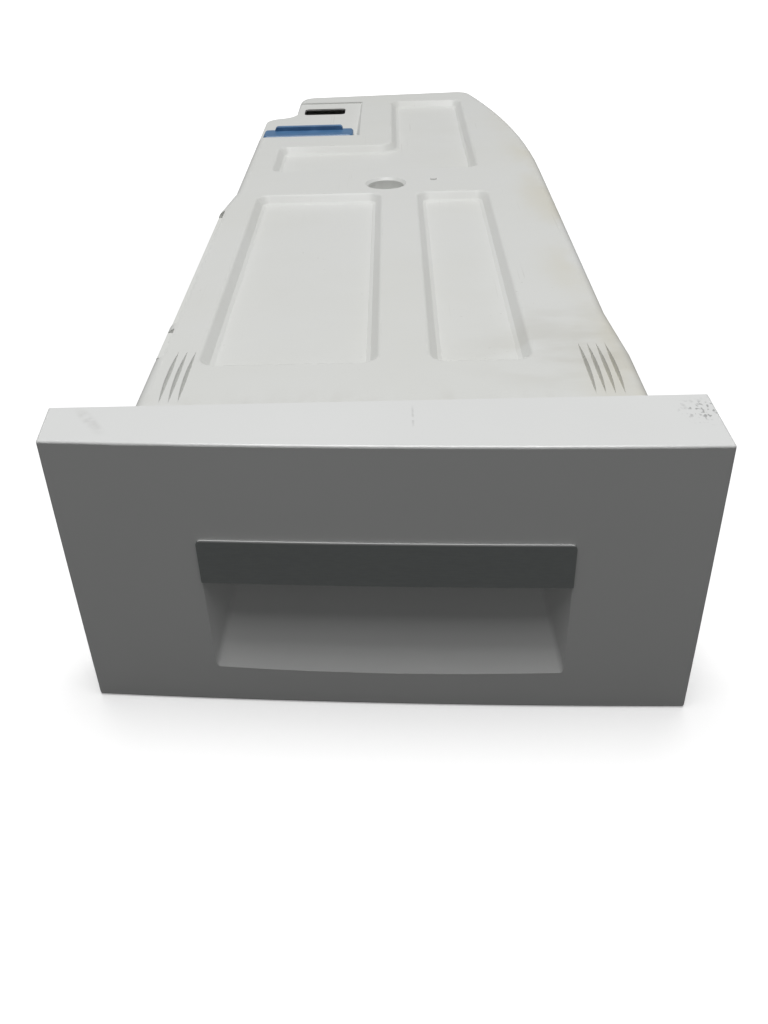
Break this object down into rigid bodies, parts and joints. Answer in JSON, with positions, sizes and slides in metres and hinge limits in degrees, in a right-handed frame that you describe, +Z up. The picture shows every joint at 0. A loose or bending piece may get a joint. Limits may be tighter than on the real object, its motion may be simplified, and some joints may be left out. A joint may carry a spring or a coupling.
{
  "type": "dryer water tank",
  "caption": "Long hollow water tank of a tumble dryer, with a bowed front panel, a grip recess and a pull-out filter beside its pour slot.",
  "frame": {"origin": "bottom centre of the whole part's box", "axes": "+X to the right seen from the front, +Y from the front panel to the rear of the tank, +Z up"},
  "size_m": [0.2228, 0.5385, 0.1126],
  "materials": {
    "tank_white": "blow-moulded, silky matte, slightly yellowed at the edges",
    "panel_white": "glossy moulded",
    "strip_grey": "satin",
    "filter_blue": "satin moulded",
    "mesh_grey": "fine woven mesh",
    "seal_rubber": "soft"
  },
  "bodies": {
    "tank": {"tank_body": "tank_white", "front_panel": "panel_white", "grip_strip": "strip_grey"},
    "filter": {"filter_frame": "filter_blue", "filter_mesh": "mesh_grey", "filter_seal": "seal_rubber"}
  },
  "joints": [
    {"name": "filter_pull", "type": "slide", "parent": "tank", "child": "filter", "axis": [0, 0, 1], "range_m": [0, 0.045]}
  ]
}
